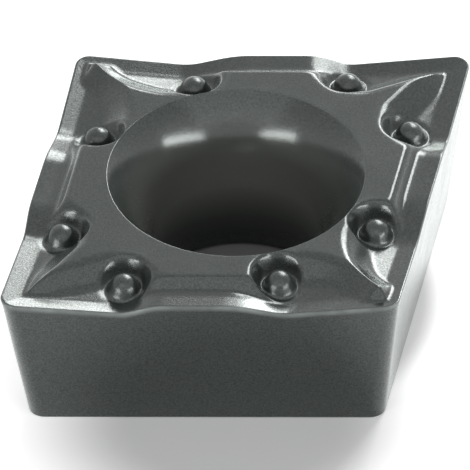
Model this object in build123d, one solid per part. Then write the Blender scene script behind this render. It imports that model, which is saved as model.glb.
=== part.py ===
from build123d import *
from math import cos, radians, sin, tan
import os

# An 80 degree rhombic turning insert with one clamping hole.
# The origin is on the bore axis at the seating face, +Z leaves the rake face,
# +X runs along one cutting edge.  Everything is in millimetres and degrees.

# Blank
inscribed_circle = 9.525      # across two opposite cutting edges
corner_angle = 80.0           # the sharper pair of corners
thickness = 3.97              # seating face to cutting corner
relief_angle = 7.0            # flanks lean in below the cutting edges
nose_radius = 0.40            # rounds each corner from the seat to the cutting edge
plateau_rise = 0.21           # central face above the cutting corners

# Clamping hole
bore_diameter = 4.40
trumpet_diameter = 6.28       # where the curved mouth leaves the central face
trumpet_slope = 45.0          # slope of the mouth where it begins
bore_exit_break = 0.12        # broken edge at the seating face

# Wavy cutting edge, measured along one side from its sharper corner
acute_dip_at = 3.05
acute_dip = 0.28
obtuse_dip_from_corner = 2.75
obtuse_dip = 0.29
acute_ramp = 0.75             # from the bottom of this dip up to the crest
obtuse_ramp = 1.12
crest_drop = 0.025            # the crest between the dips, below the cutting corners
dip_blend = 0.45
crest_blend = 0.90

# Chip former behind the edge, measured inward from the edge
land_width = 0.50             # the rake land falls this far, then the floor climbs
land_fall = 0.095             # fall across the land beside the corners
crest_fall = 0.035            # fall across the land behind the crest
floor_climb = 5.0
wall_top = 0.86               # the wall behind the crest, where it meets the central face
corner_wall_top = 0.54        # the same wall beside the blunter corners
wall_angle = 54.0

# Scooped pockets: centre along the side, centre inward, radius at the central face
acute_pocket = (2.70, 0.38, 1.28)
obtuse_pocket = (2.30, 0.36, 1.36)
corner_pocket = (1.90, -0.05, 1.57)     # runs on from the obtuse pocket towards the corner
pocket_depth = 0.62
pocket_slope = 38.0           # cone of the pocket wall

# Chip-breaking balls, each standing in a round socket
ball_radius = 0.37
acute_ball = (3.04, 0.98)
obtuse_ball = (2.88, 1.10)
ball_top = 0.11               # above the cutting corners
socket_radius = 0.62
socket_bottom = -0.46         # below the cutting corners

# Derived sizes
side = inscribed_circle / sin(radians(corner_angle))
half_height = inscribed_circle / 2
half_length = side * (1 + cos(radians(corner_angle))) / 2
obtuse_dip_at = side - obtuse_dip_from_corner
crest_start = acute_dip_at + acute_ramp
crest_end = obtuse_dip_at - obtuse_ramp
plateau = thickness + plateau_rise
bore_radius = bore_diameter / 2
clear = 0.6                   # how far the cutters overshoot the blank


def blank():
    """Rhombic body with rounded corners, whose flanks lean in towards the seat."""
    run = side / 2
    shift = half_height / tan(radians(corner_angle))
    corners = [
        (-run - shift, -half_height),
        (run - shift, -half_height),
        (run + shift, half_height),
        (-run + shift, half_height),
    ]
    body = extrude(make_face(Polyline(*corners, close=True)), plateau)
    flanks = body.faces().filter_by(Axis.Z, reverse=True)
    body = draft(flanks, Plane.XY.offset(thickness), -relief_angle)
    uprights = body.edges().filter_by(lambda edge: edge.bounding_box().size.Z > thickness / 2)
    return fillet(uprights, nose_radius)


def wave_section(inward):
    """Everything above the wavy rake land, cut upright at one distance from the edge."""
    low = land_fall * inward / land_width
    mid = crest_fall * inward / land_width
    acute_slope = acute_dip / acute_dip_at
    obtuse_slope = obtuse_dip / obtuse_dip_from_corner
    line = [
        (-clear, acute_slope * clear - low),
        (acute_dip_at, -acute_dip - low),
        (crest_start, -crest_drop - mid),
        (crest_end, -crest_drop - mid),
        (obtuse_dip_at, -obtuse_dip - low),
        (side + clear, obtuse_slope * clear - low),
    ]
    lid = [(side + clear, 1.5), (-clear, 1.5)]
    face = make_face(Polyline(*line, *lid, close=True))
    for along, blend in [
        (acute_dip_at, dip_blend),
        (crest_start, crest_blend),
        (crest_end, crest_blend),
        (obtuse_dip_at, dip_blend),
    ]:
        kink = face.vertices().sort_by(lambda v: abs(v.X - along))[0]
        face = fillet(kink, blend)
    upright = Plane((0, inward, 0), x_dir=(1, 0, 0), z_dir=(0, -1, 0))
    return upright * face


def chip_floor():
    """The wave carried inward: down the rake land, then up the pocket floor."""
    climb = radians(floor_climb)
    land = loft([wave_section(-clear), wave_section(land_width)], ruled=True)
    rise = extrude(wave_section(land_width), 2.4 / cos(climb), dir=(0, cos(climb), sin(climb)))
    return land + rise


def wall_prism(start, end, top):
    """All that lies outside the leaning wall, between two places along the side."""
    low = -1.0
    high = plateau_rise + 0.5
    lean = 1 / tan(radians(wall_angle))
    section = [
        (-clear, low),
        (top + (low - plateau_rise) * lean, low),
        (top + (high - plateau_rise) * lean, high),
        (-clear, high),
    ]
    upright = Plane((start, 0, 0), x_dir=(0, 1, 0), z_dir=(1, 0, 0))
    return extrude(upright * make_face(Polyline(*section, close=True)), end - start)


def mitre():
    """The triangle from one side to the middle, a little larger, so that it overshoots the edge."""
    scale = 1.15
    centre = (half_length, half_height)
    points = [centre]
    for x, y in [(0, 0), (side, 0)]:
        points.append((centre[0] + scale * (x - centre[0]), centre[1] + scale * (y - centre[1])))
    return Pos(0, 0, -2) * extrude(make_face(Polyline(*points, close=True)), 4)


def pocket(along, inward, radius):
    """A round scoop with a flat middle and a cone for its wall."""
    top = plateau_rise
    bottom = top - pocket_depth
    flat = radius - pocket_depth / tan(radians(pocket_slope))
    outline = [(0, bottom), (flat, bottom), (radius, top), (radius, top + 0.5), (0, top + 0.5)]
    face = Plane.XZ * make_face(Polyline(*outline, close=True))
    return Pos(along, inward, 0) * revolve(face, Axis.Z)


def ball(along, inward):
    return Pos(along, inward, ball_top - ball_radius) * Sphere(ball_radius)


def socket(along, inward):
    return Pos(along, inward, socket_bottom + socket_radius) * Sphere(socket_radius)


def all_sides(shape):
    """One side's feature on all four sides: mirror it, then turn both half round."""
    placed = Pos(-half_length, -half_height, thickness) * shape
    half = radians(corner_angle) / 2
    mirrored = mirror(placed, Plane((0, 0, 0), z_dir=(sin(half), -cos(half), 0)))
    both = [placed, mirrored]
    return both + [Rot(0, 0, 180) * part for part in both]


insert = blank()

# Chip former of one side
acute_spot = acute_ball
obtuse_spot = (side - obtuse_ball[0], obtuse_ball[1])
turn_over = side - obtuse_pocket[0]     # inside the obtuse pocket, where the two walls may differ
outside = wall_prism(-clear, turn_over, wall_top) + wall_prism(turn_over, side + clear, corner_wall_top)
for along, inward, radius in [obtuse_pocket, corner_pocket]:
    outside += pocket(side - along, inward, radius)
outside += pocket(*acute_pocket)
former = chip_floor() & outside & mitre()
former += socket(*acute_spot)
former += socket(*obtuse_spot)
for cut in all_sides(former):
    insert -= cut
for bead in all_sides(ball(*acute_spot)) + all_sides(ball(*obtuse_spot)):
    insert += bead

# Clamping hole with its trumpet mouth
mouth_radius = trumpet_diameter / 2
slope = radians(trumpet_slope)
bend = (mouth_radius - bore_radius) / (1 - sin(slope))
bend_end = plateau - bend * cos(slope)
half_way = (slope + radians(90)) / 2
hole_line = Polyline(
    (bore_radius, bend_end),
    (bore_radius, bore_exit_break),
    (bore_radius + bore_exit_break, 0),
    (bore_radius + bore_exit_break, -1),
    (0, -1),
    (0, plateau + 1),
    (mouth_radius, plateau + 1),
    (mouth_radius, plateau),
)
hole_bend = ThreePointArc(
    (bore_radius, bend_end),
    (bore_radius + bend * (1 - sin(half_way)), bend_end + bend * cos(half_way)),
    (mouth_radius, plateau),
)
insert -= revolve(Plane.XZ * make_face(hole_line + hole_bend), Axis.Z)

insert = insert.solid()
os.makedirs("parts", exist_ok=True)
export_step(insert, "parts/insert.step")
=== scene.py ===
from math import cos, pi, radians, sin, tan

import bpy
import numpy as np
from bpy.props import FloatProperty, FloatVectorProperty, IntProperty, PointerProperty
from mathutils import Matrix, Vector


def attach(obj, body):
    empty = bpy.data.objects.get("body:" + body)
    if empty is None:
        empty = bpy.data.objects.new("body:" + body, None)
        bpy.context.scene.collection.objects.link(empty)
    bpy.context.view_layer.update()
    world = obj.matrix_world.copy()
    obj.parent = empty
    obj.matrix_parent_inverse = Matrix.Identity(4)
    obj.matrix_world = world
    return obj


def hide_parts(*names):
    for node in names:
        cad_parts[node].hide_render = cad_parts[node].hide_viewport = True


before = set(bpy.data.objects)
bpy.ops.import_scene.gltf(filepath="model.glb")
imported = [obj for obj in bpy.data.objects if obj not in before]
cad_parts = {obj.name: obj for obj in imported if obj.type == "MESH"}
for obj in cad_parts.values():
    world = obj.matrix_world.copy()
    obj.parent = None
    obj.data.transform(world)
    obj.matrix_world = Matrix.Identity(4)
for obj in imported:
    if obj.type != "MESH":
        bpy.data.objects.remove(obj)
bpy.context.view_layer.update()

bl_info = {
    "name": "Rhombic turning insert",
    "version": (1, 0, 0),
    "blender": (4, 5, 0),
    "location": "3D View > Sidebar > Insert",
    "description": "Builds a coated carbide turning insert with its chip former, and its studio",
    "category": "Add Mesh",
}

MM = 0.001
NODE = "insert"

# Mesh
FOLD_BLEND = 0.1 * MM          # softens the folds behind the land and in the scoops
EDGE_PASSES = 3                # rounds in which the falling edge and its inset settle
HONE_PARTS = (0.25, 0.5, 0.75, 1.0)
FLANK_SHARES = (0.04, 0.35, 0.68, 1.0)
SEAT_EDGE_PARTS = (0.35, 0.7, 1.0)
SEAT_SHARES = (0.5, 1.0)
MOUTH_ROWS = 14
RIM_PARTS = (0.0, 0.25, 0.5, 0.75)
PROBE_INSET = 1.0 * MM         # how far the outline is inset to see how each column moves

# How far each edge is painted paler, partly for polish by the blasting and partly as a painted
# highlight, where 1 is the cutting edge
HONE_WEAR_AND_HIGHLIGHT = 1.0
SEAT_EDGE_WEAR_AND_HIGHLIGHT = 0.6
RIM_WEAR_AND_HIGHLIGHT = 0.4

# Coating
GRAIN_SIZE = 0.045 * MM        # blasted grain is 0.01 to 0.02 mm: coarsened, so that it shows
PATCH_SIZE = 0.9 * MM          # patches where the coating grew a little thicker or thinner
PORE_SPACING = 0.3 * MM        # sparse pores of the sintered blank
PORE_RADIUS = 0.06             # share of their spacing, so about 0.04 mm across
PORE_SHARE = 0.5               # depth of the pores against the grain
PATCH_MOTTLE = 0.10
GRAIN_DEPTH = 0.004 * MM
GRAIN_STRENGTH = 0.35
GRAIN_SPAN = (0.3, 0.7)        # values of the grain's noise from the darkest to the palest grain
PATCH_SPAN = (0.3, 0.7)        # values of the patches' noise from the glossiest to the dullest
GLOSS_ROUGHNESS = (0.15, 0.19)
MATT_ROUGHNESS = 0.10          # added beside the balls
LAYER_IOR = 1.47               # of both layers: guessed, for strong glancing mirror images
CLEAR_SPAN = (0.35, 0.65)
CLEAR_WEIGHT = (0.25, 1.0)     # the upper layer is thin on dark grains
WORN_HIGHLIGHT_SPAN = (0.35, 0.6)
WORN_HIGHLIGHT_SHARES = (0.45, 1.0)      # the paler edges, polish and painted highlight, are paler in some patches than in others

# Floor
FLOOR_REACH = 0.6
ROLLER_GRAIN = 1.5 * MM
ROLLER_MOTTLE = 0.01
UNDERSIDE_SHADOW_RADII = (2.4 * MM, 3.6 * MM)      # painted shadow: the board is painted darker inward over these radii, under the insert
UNDERSIDE_SHADE = 0.3
SHADOW_AHEAD = 4.6 * MM        # centre of the oval in front of the insert that is left unlifted, a painted shadow over the lamps' own
SHADOW_SQUEEZE = 0.75          # the oval is wider than deep
SHADOW_FADE = (1.8 * MM, 4.6 * MM)
BESIDE_FADE = (4.4 * MM, 5.2 * MM)    # the lift begins beside the insert, so not in the bore
FLOOR_LIFT = 0.7

# Room
SEEN_STRENGTH = 1.0            # white for the camera and for mirror images
FILL_STRENGTH = 0.27           # soft light on the object


def linear(code):
    """An sRGB hex colour as linear red, green and blue."""
    channels = [int(code[place:place + 2], 16) / 255 for place in (1, 3, 5)]
    return [c / 12.92 if c <= 0.04045 else ((c + 0.055) / 1.055) ** 2.4 for c in channels]


# ---------------------------------------------------------------- sizes and colours

def length(name, default_mm, description):
    return FloatProperty(
        name=name, description=description, default=default_mm * MM,
        unit="LENGTH", subtype="DISTANCE", precision=5,
    )


def angle(name, degrees, description):
    return FloatProperty(
        name=name, description=description, default=radians(degrees),
        unit="ROTATION", subtype="ANGLE",
    )


def colour(name, code, description):
    return FloatVectorProperty(
        name=name, description=description, default=linear(code),
        subtype="COLOR", min=0, max=1,
    )


def count(name, default, least, description):
    return IntProperty(name=name, description=description, default=default, min=least)


class InsertSizes(bpy.types.PropertyGroup):
    """Sizes of the blank, the clamping hole and the chip former."""

    inscribed_circle: length("Inscribed circle", 9.525, "Across two opposite cutting edges")
    corner_angle: angle("Corner angle", 80, "The sharper pair of corners")
    thickness: length("Thickness", 3.97, "Seating face to cutting corner")
    relief_angle: angle("Relief angle", 7, "Lean of the flanks below the cutting edges")
    nose_radius: length("Nose radius", 0.40, "Rounds each corner")
    plateau_rise: length("Plateau rise", 0.21, "Central face above the cutting corners")
    hone_radius: length("Edge hone", 0.035, "Rounds the cutting edge")
    seat_edge_radius: length("Seat edge", 0.05, "Rounds the edge of the seating face")

    bore_diameter: length("Bore", 4.40, "Clamping hole")
    trumpet_diameter: length("Trumpet", 6.28, "Where the mouth leaves the central face")
    trumpet_slope: angle("Trumpet slope", 45, "Slope of the mouth where it begins")
    rim_blend: length("Rim blend", 0.012, "Softens the edge where the mouth begins")
    bore_exit_break: length("Bore exit", 0.12, "Broken edge at the seating face")

    acute_dip_at: length("Acute dip place", 3.05, "Along the side from the acute corner")
    acute_dip: length("Acute dip", 0.28, "Fall of the edge from the acute corner to its dip")
    obtuse_dip_from_corner: length("Obtuse dip place", 2.75, "Along, from the obtuse corner")
    obtuse_dip: length("Obtuse dip", 0.29, "Fall of the edge from the obtuse corner to its dip")
    acute_ramp: length("Acute ramp", 0.75, "From the acute dip up to the crest")
    obtuse_ramp: length("Obtuse ramp", 1.12, "From the obtuse dip up to the crest")
    crest_drop: length("Crest drop", 0.025, "The crest below the cutting corners")
    wave_blend: length("Wave blend", 0.09, "Softens the kinks of the wavy edge")

    land_width: length("Land width", 0.50, "Rake land behind the edge")
    land_fall: length("Land fall", 0.08, "Fall across the land beside the corners")
    crest_fall: length("Crest fall", 0.035, "Fall across the land behind the crest")
    floor_climb: angle("Floor climb", 5, "The pocket floor climbs inward")
    wall_top: length("Wall top", 0.86, "Where the wall meets the central face")
    corner_wall_top: length("Corner wall top", 0.54, "The same wall beside the blunter corners")
    wall_angle: angle("Wall angle", 54, "Wall behind the crest")
    acute_pocket: length("Acute pocket place", 2.70, "Centre along the side from its corner")
    acute_pocket_in: length("Acute pocket inset", 0.38, "Centre inward from the edge")
    acute_pocket_radius: length("Acute pocket radius", 1.28, "At the central face")
    obtuse_pocket: length("Obtuse pocket place", 2.30, "Centre along the side from its corner")
    obtuse_pocket_in: length("Obtuse pocket inset", 0.36, "Centre inward from the edge")
    obtuse_pocket_radius: length("Obtuse pocket radius", 1.36, "At the central face")
    corner_pocket: length("Corner pocket place", 1.90, "Runs on from the obtuse pocket")
    corner_pocket_in: length("Corner pocket inset", -0.05, "Centre inward from the edge")
    corner_pocket_radius: length("Corner pocket radius", 1.57, "At the central face")
    pocket_depth: length("Pocket depth", 0.62, "Below the central face")
    pocket_slope: angle("Pocket slope", 38, "Cone of the pocket wall")
    acute_tail: length("Acute tail place", 1.45, "Where the acute pocket is drawn out to")
    acute_tail_in: length("Acute tail inset", 0.0, "Centre inward from the edge")
    acute_tail_radius: length("Acute tail radius", 1.12, "At the central face")
    former_blend: length("Former blend", 0.10, "Softens the pressed edges of the former")
    scoop_blend: length("Scoop blend", 0.15, "Softens the edges between the scoops")
    socket_blend: length("Socket blend", 0.25, "Softens the rim of the hollow under each ball")

    ball_radius: length("Ball radius", 0.37, "Chip-breaking balls")
    acute_ball: length("Acute ball place", 3.04, "Along the side from the acute corner")
    acute_ball_in: length("Acute ball inset", 0.98, "Inward from the edge")
    obtuse_ball: length("Obtuse ball place", 2.88, "Along the side from the obtuse corner")
    obtuse_ball_in: length("Obtuse ball inset", 1.10, "Inward from the edge")
    ball_top: length("Ball top", 0.11, "Above the cutting corners")
    socket_radius: length("Socket radius", 0.62, "Round hollow under each ball")
    socket_bottom: length("Socket bottom", -0.46, "Below the cutting corners")
    steepest: angle("Steepest wall", 76, "Limit for the walls of the balls and their hollows")
    blast_shadow: length("Blast shadow", 0.95, "Round each ball, where the blasting reaches less")

    side_steps: count("Side steps", 206, 24, "Mesh columns along a side")
    nose_steps: count("Nose steps", 20, 4, "Mesh columns round a corner")
    rake_rows: count("Rake rows", 75, 8, "Mesh rows from hole to edge")
    smoothing: count("Smoothing", 5, 0, "Passes over the former")


class InsertColours(bpy.types.PropertyGroup):
    """Colours of the coating and the studio."""

    coating: colour("Coating", "#2B2F2E", "Fine-grained coating")
    coating_dark: colour("Coating, dark grains", "#202323", "Darker grains and hollows")
    # partly wear, partly painted highlight: the paler edge colour also stands for the highlight
    # along the hone
    coating_worn_and_highlight: colour("Coating, edges", "#7C8080", "Where blasting polished an edge")
    # painted light: the hole's wall is painted paler where light falls on it
    coating_hole_painted_light: colour("Coating, hole", "#757471", "Paler coating down the hole")
    mirror_tint: colour("Mirror tint", "#F7FFFB", "Faint green of the mirror images")
    floor: colour("Floor", "#F6F6F6", "Plain pale floor")


# ---------------------------------------------------------------- shape of the insert

def smooth_min(a, b, blend):
    """The lower of two heights, with their meeting line rounded over about blend."""
    share = np.clip(0.5 + 0.5 * (b - a) / blend, 0, 1)
    return b * (1 - share) + a * share - blend * share * (1 - share)


def smooth_max(a, b, blend):
    return -smooth_min(-a, -b, blend)


def side_place(x, y, side, sizes):
    """Places as (along, inward) of one side: along from its acute corner, inward from its edge."""
    half_height = sizes.inscribed_circle / 2
    run = sizes.inscribed_circle / sin(sizes.corner_angle)
    half_length = run * (1 + cos(sizes.corner_angle)) / 2
    if side >= 2:
        x, y = -x, -y
    if side % 2:
        turn = sizes.corner_angle
        x, y = x * cos(turn) + y * sin(turn), x * sin(turn) - y * cos(turn)
    return x + half_length, y + half_height


def wavy_floor(along, inward, sizes):
    """The wave of the cutting edge carried inward, down the land and up the pocket floor."""
    run = sizes.inscribed_circle / sin(sizes.corner_angle)
    on_land = smooth_min(inward, sizes.land_width, FOLD_BLEND) / sizes.land_width
    low = sizes.land_fall * on_land
    acute_slope = sizes.acute_dip / sizes.acute_dip_at
    obtuse_slope = sizes.obtuse_dip / sizes.obtuse_dip_from_corner
    obtuse_at = run - sizes.obtuse_dip_from_corner
    crest = -sizes.crest_drop - sizes.crest_fall * on_land
    climb_up = -sizes.acute_dip - low
    climb_up = climb_up + (along - sizes.acute_dip_at) / sizes.acute_ramp * (crest - climb_up)
    climb_back = -sizes.obtuse_dip - low
    climb_back = climb_back + (obtuse_at - along) / sizes.obtuse_ramp * (crest - climb_back)
    blend = sizes.wave_blend
    hump = smooth_min(smooth_min(climb_up, crest, blend), climb_back, blend)
    wave = smooth_max(hump, -acute_slope * along - low, blend)
    wave = smooth_max(wave, -obtuse_slope * (run - along) - low, blend)
    past_land = smooth_max(inward - sizes.land_width, 0 * inward, FOLD_BLEND)
    return wave + past_land * tan(sizes.floor_climb)


def bowl(distance, flat, wall, depth, steepest):
    """Height of a bowl with a flat middle, whose wall is an arc as wide and deep as given."""
    arc = (wall**2 + depth**2) / (2 * depth)
    limit = arc * sin(steepest)
    out = np.clip(distance - flat, 0, None)
    on_arc = np.minimum(out, limit)
    return arc - np.sqrt(arc**2 - on_arc**2) + (out - on_arc) * tan(steepest)


def pocket(along, inward, centre, radius, sizes, end=None, end_radius=0):
    """A scoop with a flat middle and a cone for its wall, round or drawn out towards an end."""
    if end is None:
        past_rim = np.hypot(along - centre[0], inward - centre[1]) - radius
    else:
        run = (end[0] - centre[0], end[1] - centre[1])
        reach = np.hypot(*run)
        lead = (radius - end_radius) / np.sqrt(reach**2 - (radius - end_radius) ** 2)
        ahead = ((along - centre[0]) * run[0] + (inward - centre[1]) * run[1]) / reach
        aside = np.abs((inward - centre[1]) * run[0] - (along - centre[0]) * run[1]) / reach
        share = np.clip((ahead + aside * lead) / reach, 0, 1)
        rim = radius + (end_radius - radius) * share
        past_rim = np.hypot(ahead - share * reach, aside) - rim
    cone = sizes.plateau_rise + past_rim * tan(sizes.pocket_slope)
    flat = np.full_like(past_rim, sizes.plateau_rise - sizes.pocket_depth)
    return smooth_max(cone, flat, FOLD_BLEND)


def ball_reaches(x, y, sizes):
    """Distances in plan from each of the eight balls."""
    run = sizes.inscribed_circle / sin(sizes.corner_angle)
    spots = (
        (sizes.acute_ball, sizes.acute_ball_in),
        (run - sizes.obtuse_ball, sizes.obtuse_ball_in),
    )
    reaches = []
    for side in range(4):
        along, inward = side_place(x, y, side, sizes)
        for spot in spots:
            reaches.append(np.hypot(along - spot[0], inward - spot[1]))
    return reaches


def rake_height(x, y, own, sizes):
    """Height of the rake face above the cutting corners. own is the side that each place faces."""
    run = sizes.inscribed_circle / sin(sizes.corner_angle)
    obtuse_at = run - sizes.obtuse_pocket
    acute = (sizes.acute_pocket, sizes.acute_pocket_in)
    acute_tail = (sizes.acute_tail, sizes.acute_tail_in)
    obtuse = (obtuse_at, sizes.obtuse_pocket_in)
    corner = (run - sizes.corner_pocket, sizes.corner_pocket_in)
    height = np.full_like(x, sizes.plateau_rise)
    out_of_the_way = 10 * sizes.thickness
    for side in range(4):
        along, inward = side_place(x, y, side, sizes)
        top = np.where(along < obtuse_at, sizes.wall_top, sizes.corner_wall_top)
        opened = sizes.plateau_rise + (inward - top) * tan(sizes.wall_angle)
        for scoop in (
            pocket(along, inward, acute, sizes.acute_pocket_radius, sizes,
                   end=acute_tail, end_radius=sizes.acute_tail_radius),
            pocket(along, inward, obtuse, sizes.obtuse_pocket_radius, sizes),
            pocket(along, inward, corner, sizes.corner_pocket_radius, sizes),
        ):
            opened = smooth_min(opened, scoop, sizes.scoop_blend)
        former = smooth_max(wavy_floor(along, inward, sizes), opened, sizes.former_blend)
        former = np.where(own == side, former, out_of_the_way)
        height = smooth_min(height, former, sizes.former_blend)
    reaches = ball_reaches(x, y, sizes)
    for reach in reaches:
        hollow = bowl(reach, 0, sizes.socket_radius, sizes.socket_radius, sizes.steepest)
        height = smooth_min(height, sizes.socket_bottom + hollow, sizes.socket_blend)
    for reach in reaches:
        dome = bowl(reach, 0, sizes.ball_radius, sizes.ball_radius, sizes.steepest)
        height = smooth_max(height, sizes.ball_top - dome, sizes.scoop_blend)
    return height


def outline(inset, sizes):
    """The rounded rhombus, inset from the cutting edges, as places, own sides and outward ways."""
    corner_angle = sizes.corner_angle
    radius = sizes.nose_radius
    half_height = sizes.inscribed_circle / 2
    run = sizes.inscribed_circle / sin(corner_angle)
    shift = half_height / tan(corner_angle)
    headings = (0, corner_angle, pi, pi + corner_angle)      # direction of travel along each side
    sides = (0, 3, 2, 1)                                     # the number of that side
    points = []
    owns = []
    normals = []
    for step, heading in enumerate(headings):
        ahead = Vector((cos(heading), sin(heading)))
        out = Vector((sin(heading), -cos(heading)))
        middle = out * half_height
        acute_first = step % 2 == 0
        first_half = (corner_angle if acute_first else pi - corner_angle) / 2
        last_half = (pi - corner_angle if acute_first else corner_angle) / 2
        # the middle of a side lies off the spot where it touches the inscribed circle
        slide = -shift if acute_first else shift
        start = -run / 2 + (radius + inset) / tan(first_half) + slide
        end = run / 2 - (radius + inset) / tan(last_half) + slide
        for place in np.linspace(0, 1, sizes.side_steps, endpoint=False):
            along = start * (1 - place) + end * place
            points.append(middle + ahead * along - out * inset)
            owns.append(sides[step])
            normals.append(out)
        centre = middle + ahead * end - out * (inset + radius)
        following = (step + 1) % 4
        sweep = headings[following] + (2 * pi if following == 0 else 0) - heading
        for place in np.linspace(0, 1, sizes.nose_steps, endpoint=False):
            bearing = heading - pi / 2 + sweep * place
            away = Vector((cos(bearing), sin(bearing)))
            points.append(centre + away * radius)
            owns.append(sides[step] if place < 0.5 else sides[following])
            normals.append(away)
    plan = np.array([(point.x, point.y) for point in points])
    out = np.array([(normal.x, normal.y) for normal in normals])
    return plan, np.array(owns), out


def flank_ring(level, sizes):
    """The outline on the leaning flanks, at a level of its own for each column."""
    whole = outline(0, sizes)[0]
    per_inset = (outline(PROBE_INSET, sizes)[0] - whole) / PROBE_INSET
    return whole + per_inset * ((sizes.thickness - level) * tan(sizes.relief_angle))[:, None]


class Rings:
    """The closed rings of the body in order, with what the coating reads at their points."""

    def __init__(self):
        self.points = []
        self.layers = {"wear": [], "hole_depth": [], "matt": []}

    def add(self, plan, level, **values):
        """One ring from its places in plan and its level, with values for some layers."""
        self.points.append(np.column_stack([plan, np.broadcast_to(level, len(plan))]))
        for kind, rows in self.layers.items():
            rows.append(np.broadcast_to(values.get(kind, 0.0), len(plan)))


def smoothed(heights, passes):
    """Heights of the rake face, evened a little with their neighbours in each pass."""
    for _ in range(passes):
        inner = heights[1:-1]
        across = (heights[:-2] + heights[2:] - 2 * inner) / 4
        around = (np.roll(inner, 1, axis=1) + np.roll(inner, -1, axis=1) - 2 * inner) / 4
        heights[1:-1] = inner + (across + around) / 2
        last = heights[-1]
        heights[-1] = last + (np.roll(last, 1) + np.roll(last, -1) - 2 * last) / 8
    return heights


def add_rake(rings, rim, inner_edge, own, sizes):
    """The rake face, from the rim of the hole to the hone. Gives its heights along the hone."""
    share = (np.arange(sizes.rake_rows + 1) / sizes.rake_rows)[:, None, None]
    grid = rim * (1 - share) + inner_edge * share
    x, y = grid[..., 0], grid[..., 1]
    heights = smoothed(rake_height(x, y, np.broadcast_to(own, x.shape), sizes), sizes.smoothing)
    nearest = np.min(ball_reaches(x, y, sizes), axis=0)
    shadow_width = sizes.blast_shadow - sizes.ball_radius
    shadowed = np.clip((sizes.blast_shadow - nearest) / shadow_width, 0, 1)
    for plan, height, shadow in zip(grid, heights, shadowed):
        rings.add(plan, sizes.thickness + height, matt=shadow)
    return heights[-1]


def add_edge_and_flank(rings, inner_edge, land_height, out, sizes):
    """The honed cutting edge, the flank and the rounded edge of the seat. Gives the last ring."""
    hone = sizes.hone_radius
    for part in HONE_PARTS:
        swing = part * pi / 2
        edge_level = sizes.thickness + land_height - hone * (1 - cos(swing))
        rings.add(inner_edge + out * (hone * sin(swing)), edge_level, wear=HONE_WEAR_AND_HIGHLIGHT)
    round_off = sizes.seat_edge_radius
    for share in FLANK_SHARES:
        level = edge_level * (1 - share) + round_off * share
        foot = flank_ring(level, sizes)
        rings.add(foot, level)
    for part in SEAT_EDGE_PARTS:
        swing = part * pi / 2
        seat_edge = foot - out * (round_off * (1 - cos(swing)))
        rings.add(seat_edge, round_off * (1 - sin(swing)), wear=SEAT_EDGE_WEAR_AND_HIGHLIGHT)
    return seat_edge


def add_seat_and_hole(rings, seat_edge, around, sizes):
    """The seating face, the bore, its curved mouth and the soft rim of that."""
    bore = sizes.bore_diameter / 2
    mouth = sizes.trumpet_diameter / 2
    for share in SEAT_SHARES:
        exit_ring = around * (bore + sizes.bore_exit_break)
        rings.add(seat_edge * (1 - share) + exit_ring * share, 0.0)
    # the mouth is an arc that leaves the bore upright and ends at its slope
    plateau = sizes.thickness + sizes.plateau_rise
    slope = sizes.trumpet_slope
    bend = (mouth - bore) / (1 - sin(slope))
    bend_start = plateau - bend * cos(slope)
    line = [(bore, sizes.bore_exit_break), (bore, bend_start / 2)]
    for part in np.linspace(1, 0, MOUTH_ROWS):
        tilt = slope + (pi / 2 - slope) * part
        line.append((bore + bend * (1 - sin(tilt)), bend_start + bend * cos(tilt)))
    for radius, level in line[:-1]:
        share = (mouth - radius) / (mouth - bore)
        # painted light: paler down the mouth, most where it meets the bore, back to the plain
        # coating at the rim and the foot of the bore
        depth = share**2 * min(1, level / bend_start) ** 2
        rings.add(around * radius, level, hole_depth=depth)
    soft = sizes.rim_blend
    for part in RIM_PARTS:
        radius = mouth - soft + 2 * soft * part
        level = plateau - soft * tan(slope) * (1 - part) ** 2
        rings.add(around * radius, level, wear=RIM_WEAR_AND_HIGHLIGHT * part)


def body_rings(sizes):
    """Rings of the closed body, from the rim of the hole out, down, in and up the bore."""
    whole, own, out = outline(0, sizes)
    height = np.zeros(len(whole))
    for _ in range(EDGE_PASSES):
        fall = np.clip(-height, 0, None)
        edge = whole - out * (fall * tan(sizes.relief_angle))[:, None]
        height = rake_height(edge[:, 0], edge[:, 1], own, sizes)
    inner_edge = edge - out * sizes.hone_radius
    bearing = np.arctan2(edge[:, 1], edge[:, 0])
    around = np.stack([np.cos(bearing), np.sin(bearing)], axis=1)
    rim = around * (sizes.trumpet_diameter / 2 + sizes.rim_blend)

    rings = Rings()
    land_height = add_rake(rings, rim, inner_edge, own, sizes)
    seat_edge = add_edge_and_flank(rings, inner_edge, land_height, out, sizes)
    add_seat_and_hole(rings, seat_edge, around, sizes)
    return rings


def closed_mesh(name, rings):
    """A mesh round the hole from closed rings, the last joined to the first."""
    rows = len(rings.points)
    columns = len(rings.points[0])
    row = np.arange(rows)[:, None] * columns
    next_row = (np.arange(rows)[:, None] + 1) % rows * columns
    column = np.arange(columns)[None, :]
    next_column = (column + 1) % columns
    corners = [row + column, next_row + column, next_row + next_column, row + next_column]
    quads = np.stack(corners, axis=-1).reshape(-1, 4)
    mesh = bpy.data.meshes.new(name)
    mesh.from_pydata(np.concatenate(rings.points).tolist(), [], quads.tolist())
    mesh.polygons.foreach_set("use_smooth", np.ones(len(mesh.polygons), dtype=bool))
    for kind, values in rings.layers.items():
        layer = mesh.attributes.new(kind, "FLOAT", "POINT")
        layer.data.foreach_set("value", np.concatenate(values).astype(np.float32))
    mesh.update()
    return mesh


# ---------------------------------------------------------------- materials

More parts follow.
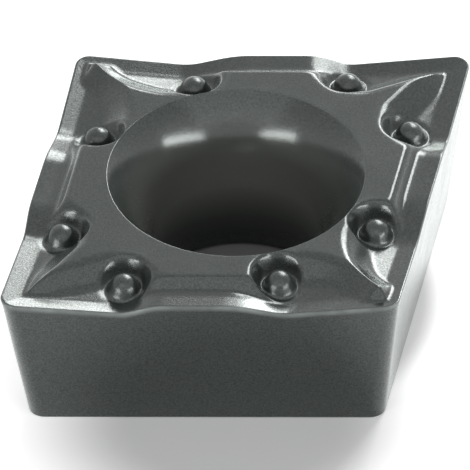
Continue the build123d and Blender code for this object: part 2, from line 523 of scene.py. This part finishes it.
def add_node(material, kind, settings=None, **links):
    """Adds one node, with its settings and its inputs by name, or by number as i0, i1, i2."""
    node = material.node_tree.nodes.new(kind)
    for key, value in (settings or {}).items():
        setattr(node, key, value)
    for key, value in links.items():
        numbered = key[0] == "i" and key[1:].isdigit()
        socket = node.inputs[int(key[1:]) if numbered else key.replace("_", " ")]
        if isinstance(value, bpy.types.NodeSocket):
            material.node_tree.links.new(value, socket)
        else:
            socket.default_value = value
    return node


def background_rays(owner):
    """One for the rays that see the background or its mirror image, and nothing for the rest."""
    path = add_node(owner, "ShaderNodeLightPath")
    mirrored = add_node(owner, "ShaderNodeMath", {"operation": "MAXIMUM"},
                        i0=path.outputs["Is Glossy Ray"], i1=path.outputs["Is Transmission Ray"])
    both = add_node(owner, "ShaderNodeMath", {"operation": "MAXIMUM"},
                    i0=path.outputs["Is Camera Ray"], i1=mirrored.outputs[0])
    return both.outputs[0]


def coated_carbide(colours):
    """Cemented carbide with a dark vapour-deposited alumina coating, blasted after coating.

    It gives the eye a near-black grey with a fine satin grain, soft wide highlights,
    and a thin paler line along the cutting edge, partly polish by the blasting and partly a painted
    highlight on the hone.
    The hole is painted paler down its mouth, as painted light on its wall; the duller hollows
    beside the balls are a guess at what the blasting and the deposit do there.
    """
    material = bpy.data.materials.new("alumina_coated_carbide")
    material.use_nodes = True
    material.node_tree.nodes.clear()
    dark = list(colours.coating_dark) + [1]
    main = list(colours.coating) + [1]
    worn_and_highlight_colour = list(colours.coating_worn_and_highlight) + [1]
    hole = list(colours.coating_hole_painted_light) + [1]
    tint = list(colours.mirror_tint) + [1]

    place = add_node(material, "ShaderNodeTexCoord").outputs["Object"]
    grain = add_node(material, "ShaderNodeTexNoise", Vector=place, Scale=1 / GRAIN_SIZE,
                     Detail=3.0, Roughness=0.6)
    patch = add_node(material, "ShaderNodeTexNoise", Vector=place, Scale=1 / PATCH_SIZE, Detail=2.0)
    pores = add_node(material, "ShaderNodeTexVoronoi", Vector=place, Scale=1 / PORE_SPACING)

    # colour: mottled grains, paler edges partly from polish and partly a painted highlight, painted
    # light down the hole
    spread = add_node(material, "ShaderNodeMapRange", Value=grain.outputs["Fac"],
                      i1=GRAIN_SPAN[0], i2=GRAIN_SPAN[1], i3=0.0, i4=1.0)
    mottled = add_node(material, "ShaderNodeMix", {"data_type": "RGBA"}, i0=spread.outputs[0],
                       i6=dark, i7=main)
    patched = add_node(material, "ShaderNodeMix", {"data_type": "RGBA", "blend_type": "MULTIPLY"},
                       i0=PATCH_MOTTLE, i6=mottled.outputs[2], i7=patch.outputs["Color"])
    # the edges are painted paler: partly polish by the blasting, partly a painted highlight
    wear = add_node(material, "ShaderNodeAttribute", {"attribute_name": "wear"})
    patchy = add_node(material, "ShaderNodeMapRange", Value=patch.outputs["Fac"],
                      i1=WORN_HIGHLIGHT_SPAN[0], i2=WORN_HIGHLIGHT_SPAN[1], i3=WORN_HIGHLIGHT_SHARES[0], i4=WORN_HIGHLIGHT_SHARES[1])
    rubbed_and_highlight = add_node(material, "ShaderNodeMath", {"operation": "MULTIPLY"},
                      i0=wear.outputs["Fac"], i1=patchy.outputs[0])
    edged = add_node(material, "ShaderNodeMix", {"data_type": "RGBA"}, i0=rubbed_and_highlight.outputs[0],
                     i6=patched.outputs[2], i7=worn_and_highlight_colour)
    # painted light: the hole's wall is painted paler down the mouth
    hole_light_mask = add_node(material, "ShaderNodeAttribute", {"attribute_name": "hole_depth"})
    coloured = add_node(material, "ShaderNodeMix", {"data_type": "RGBA"}, i0=hole_light_mask.outputs["Fac"],
                        i6=edged.outputs[2], i7=hole)

    # gloss: uneven in patches, duller beside the balls, under a clear layer that varies by grain
    polish = add_node(material, "ShaderNodeMapRange", Value=patch.outputs["Fac"],
                      i1=PATCH_SPAN[0], i2=PATCH_SPAN[1],
                      i3=GLOSS_ROUGHNESS[0], i4=GLOSS_ROUGHNESS[1])
    matt = add_node(material, "ShaderNodeAttribute", {"attribute_name": "matt"})
    rough = add_node(material, "ShaderNodeMath", {"operation": "MULTIPLY_ADD"},
                     i0=matt.outputs["Fac"], i1=MATT_ROUGHNESS, i2=polish.outputs[0])
    clear = add_node(material, "ShaderNodeMapRange", Value=grain.outputs["Fac"],
                     i1=CLEAR_SPAN[0], i2=CLEAR_SPAN[1],
                     i3=CLEAR_WEIGHT[0], i4=CLEAR_WEIGHT[1])

    # relief: grain and pores
    pit = add_node(material, "ShaderNodeMapRange", Value=pores.outputs["Distance"],
                   i1=0.0, i2=PORE_RADIUS, i3=0.0, i4=1.0)
    relief = add_node(material, "ShaderNodeMath", {"operation": "MULTIPLY_ADD"},
                      i0=pit.outputs[0], i1=PORE_SHARE, i2=grain.outputs["Fac"])
    bump = add_node(material, "ShaderNodeBump", Strength=GRAIN_STRENGTH, Distance=GRAIN_DEPTH,
                    Height=relief.outputs[0])

    shader = add_node(material, "ShaderNodeBsdfPrincipled", Base_Color=coloured.outputs[2],
                      Metallic=0.0, Roughness=rough.outputs[0], IOR=LAYER_IOR, Specular_Tint=tint,
                      Coat_Weight=clear.outputs[0], Coat_IOR=LAYER_IOR, Coat_Tint=tint,
                      Coat_Roughness=rough.outputs[0], Normal=bump.outputs[0],
                      Coat_Normal=bump.outputs[0])
    add_node(material, "ShaderNodeOutputMaterial", Surface=shader.outputs[0])
    return material


def painted_floor(colours):
    """Matt white painted board: plain and pale, with a very slight grain of the roller."""
    material = bpy.data.materials.new("matt_painted_board")
    material.use_nodes = True
    material.node_tree.nodes.clear()
    pale = list(colours.floor) + [1]
    place = add_node(material, "ShaderNodeTexCoord").outputs["Object"]
    grain = add_node(material, "ShaderNodeTexNoise", Vector=place, Scale=1 / ROLLER_GRAIN,
                     Detail=2.0)
    tint = add_node(material, "ShaderNodeMix", {"data_type": "RGBA", "blend_type": "MULTIPLY"},
                    i0=ROLLER_MOTTLE, i6=pale, i7=grain.outputs["Color"])
    # painted shadow: the board is painted darker under the insert, where only a view down the bore
    # shows it
    reach = add_node(material, "ShaderNodeVectorMath", {"operation": "LENGTH"}, i0=place)
    under_shadow_share = add_node(material, "ShaderNodeMapRange", {"interpolation_type": "SMOOTHSTEP"},
                    Value=reach.outputs["Value"], i1=UNDERSIDE_SHADOW_RADII[0], i2=UNDERSIDE_SHADOW_RADII[1],
                    i3=UNDERSIDE_SHADE, i4=1.0)
    shadowed_board = add_node(material, "ShaderNodeMix", {"data_type": "RGBA", "blend_type": "MULTIPLY"},
                   i0=1.0, i6=tint.outputs[2], i7=under_shadow_share.outputs[0])
    board = add_node(material, "ShaderNodeBsdfDiffuse", Color=shadowed_board.outputs[2])
    # elsewhere the board is lifted towards white, apart from an oval in front of the insert,
    # which is left darker as a painted shadow, placed over where the lamps' own shadow falls
    shaded = add_node(material, "ShaderNodeVectorMath", {"operation": "MULTIPLY_ADD"}, i0=place,
                      i1=(SHADOW_SQUEEZE, 1.0, 1.0), i2=(0.0, SHADOW_AHEAD, 0.0))
    away = add_node(material, "ShaderNodeVectorMath", {"operation": "LENGTH"},
                    i0=shaded.outputs[0])
    clear = add_node(material, "ShaderNodeMapRange", {"interpolation_type": "SMOOTHSTEP"},
                     Value=away.outputs["Value"], i1=SHADOW_FADE[0], i2=SHADOW_FADE[1],
                     i3=0.0, i4=FLOOR_LIFT)
    beside = add_node(material, "ShaderNodeMapRange", {"interpolation_type": "SMOOTHSTEP"},
                      Value=reach.outputs["Value"], i1=BESIDE_FADE[0], i2=BESIDE_FADE[1],
                      i3=0.0, i4=1.0)
    open_floor = add_node(material, "ShaderNodeMath", {"operation": "MULTIPLY"},
                          i0=clear.outputs[0], i1=beside.outputs[0])
    lift = add_node(material, "ShaderNodeMath", {"operation": "MULTIPLY"},
                    i0=open_floor.outputs[0], i1=background_rays(material))
    glow = add_node(material, "ShaderNodeEmission", Color=pale, Strength=lift.outputs[0])
    shader = add_node(material, "ShaderNodeAddShader", i0=board.outputs[0], i1=glow.outputs[0])
    add_node(material, "ShaderNodeOutputMaterial", Surface=shader.outputs[0])
    return material


# ---------------------------------------------------------------- operators

class INSERT_OT_body(bpy.types.Operator):
    """Build the insert's body with its chip former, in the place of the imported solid"""

    bl_idname = "insert.body"
    bl_label = "Insert body"

    def execute(self, context):
        sizes = context.scene.insert_sizes
        mesh = closed_mesh("insert_body", body_rings(sizes))
        body = bpy.data.objects.new("insert_body", mesh)
        context.scene.collection.objects.link(body)
        mesh.materials.append(coated_carbide(context.scene.insert_colours))
        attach(body, "root")
        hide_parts(NODE)
        return {"FINISHED"}


# Degrees and millimetres: the camera looks at the axis of the hole, this far above the floor
CAMERA = {"azimuth": 2.19, "elevation": 40.14, "roll": -1.34, "distance": 440.0, "look_up": 2.0}
FRAME_SIDE = 470                       # in pixels, as are the next two values
FOCAL_LENGTH = 18071.0
PICTURE_CENTRE = (237.8, 241.1)        # where the camera's axis meets the picture
SENSOR_WIDTH = 3.6
CLIP = (0.05, 10)

# Name, azimuth (0 in front, positive to the right) and elevation in degrees, width and height
# in mm, radiance
LAMPS = (
    ("right_back_box", 155, 38, 92, 134, 8.5),
    ("low_back_box", 170, 25, 84, 70, 7.5),
    ("left_box", -41, 11, 160, 38, 11.5),
    ("right_box", 54, 11, 190, 38, 11.5),
    ("front_panel", 0, 48, 380, 240, 0.5),
)
LAMP_DISTANCE = 260 * MM


def towards(azimuth, elevation):
    """Unit direction, with azimuth 0 in front and positive to the right."""
    turn = radians(azimuth)
    level = cos(radians(elevation))
    return Vector((sin(turn) * level, -cos(turn) * level, sin(radians(elevation))))


def add_floor(scene, colours):
    """A plain pale board under the insert."""
    mesh = bpy.data.meshes.new("floor")
    reach = FLOOR_REACH
    corners = [(-reach, -reach, 0), (reach, -reach, 0), (reach, reach, 0), (-reach, reach, 0)]
    mesh.from_pydata(corners, [], [(0, 1, 2, 3)])
    mesh.materials.append(painted_floor(colours))
    floor = bpy.data.objects.new("floor", mesh)
    scene.collection.objects.link(floor)


def add_lamps(scene):
    """Softboxes that face the insert."""
    for name, azimuth, elevation, width, height, radiance in LAMPS:
        light = bpy.data.lights.new(name, "AREA")
        light.shape = "RECTANGLE"
        light.size = width * MM
        light.size_y = height * MM
        light.energy = radiance * pi * width * MM * height * MM
        lamp = bpy.data.objects.new(name, light)
        away = towards(azimuth, elevation)
        lamp.location = away * LAMP_DISTANCE
        lamp.rotation_euler = away.to_track_quat("Z", "Y").to_euler()
        lamp.visible_camera = False
        scene.collection.objects.link(lamp)


def add_room(scene):
    """White where it is seen or mirrored, and a dimmer fill on the object."""
    world = bpy.data.worlds.new("pale_room")
    world.use_nodes = True
    world.node_tree.nodes.clear()
    white = (1, 1, 1, 1)
    seen = add_node(world, "ShaderNodeBackground", Color=white, Strength=SEEN_STRENGTH)
    fill = add_node(world, "ShaderNodeBackground", Color=white, Strength=FILL_STRENGTH)
    mix = add_node(world, "ShaderNodeMixShader", i0=background_rays(world),
                   i1=fill.outputs[0], i2=seen.outputs[0])
    add_node(world, "ShaderNodeOutputWorld", i0=mix.outputs[0])
    scene.world = world


def add_camera(scene):
    """A long lens, seen from a little right of the front."""
    view = bpy.data.cameras.new("camera")
    view.sensor_fit = "HORIZONTAL"
    view.sensor_width = SENSOR_WIDTH
    view.lens = SENSOR_WIDTH * FOCAL_LENGTH / FRAME_SIDE
    view.shift_x = (FRAME_SIDE / 2 - PICTURE_CENTRE[0]) / FRAME_SIDE
    view.shift_y = (PICTURE_CENTRE[1] - FRAME_SIDE / 2) / FRAME_SIDE
    view.clip_start, view.clip_end = CLIP
    turn = radians(CAMERA["azimuth"])
    roll = radians(CAMERA["roll"])
    back = towards(CAMERA["azimuth"], CAMERA["elevation"])
    right = Vector((cos(turn), sin(turn), 0))
    up = back.cross(right)
    tilted_right = right * cos(roll) + up * sin(roll)
    tilted_up = up * cos(roll) - right * sin(roll)
    eye = back * CAMERA["distance"] * MM + Vector((0, 0, CAMERA["look_up"] * MM))
    camera = bpy.data.objects.new("camera", view)
    axes = Matrix((tilted_right, tilted_up, back)).transposed().to_4x4()
    camera.matrix_world = Matrix.Translation(eye) @ axes
    scene.collection.objects.link(camera)
    scene.camera = camera


class INSERT_OT_stage(bpy.types.Operator):
    """Set the floor, the lamps, the pale surroundings and the camera"""

    bl_idname = "insert.stage"
    bl_label = "Stage"

    def execute(self, context):
        scene = context.scene
        add_floor(scene, scene.insert_colours)
        add_lamps(scene)
        add_room(scene)
        add_camera(scene)
        scene.view_settings.view_transform = "Standard"
        return {"FINISHED"}


class INSERT_PT_panel(bpy.types.Panel):
    """Lists the insert's sizes, colours and steps."""

    bl_idname = "INSERT_PT_panel"
    bl_label = "Insert"
    bl_space_type = "VIEW_3D"
    bl_region_type = "UI"
    bl_category = "Insert"

    def draw(self, context):
        column = self.layout.column()
        for group in (context.scene.insert_sizes, context.scene.insert_colours):
            for name in group.bl_rna.properties.keys():
                if name not in ("rna_type", "name"):
                    column.prop(group, name)
        column.operator(INSERT_OT_body.bl_idname)
        column.operator(INSERT_OT_stage.bl_idname)


CLASSES = (InsertSizes, InsertColours, INSERT_OT_body, INSERT_OT_stage, INSERT_PT_panel)


def register():
    for item in CLASSES:
        bpy.utils.register_class(item)
    bpy.types.Scene.insert_sizes = PointerProperty(type=InsertSizes)
    bpy.types.Scene.insert_colours = PointerProperty(type=InsertColours)


def unregister():
    del bpy.types.Scene.insert_colours
    del bpy.types.Scene.insert_sizes
    for item in reversed(CLASSES):
        bpy.utils.unregister_class(item)


def main():
    register()
    bpy.ops.insert.body()
    bpy.ops.insert.stage()
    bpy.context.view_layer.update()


if __name__ == "__main__":
    main()
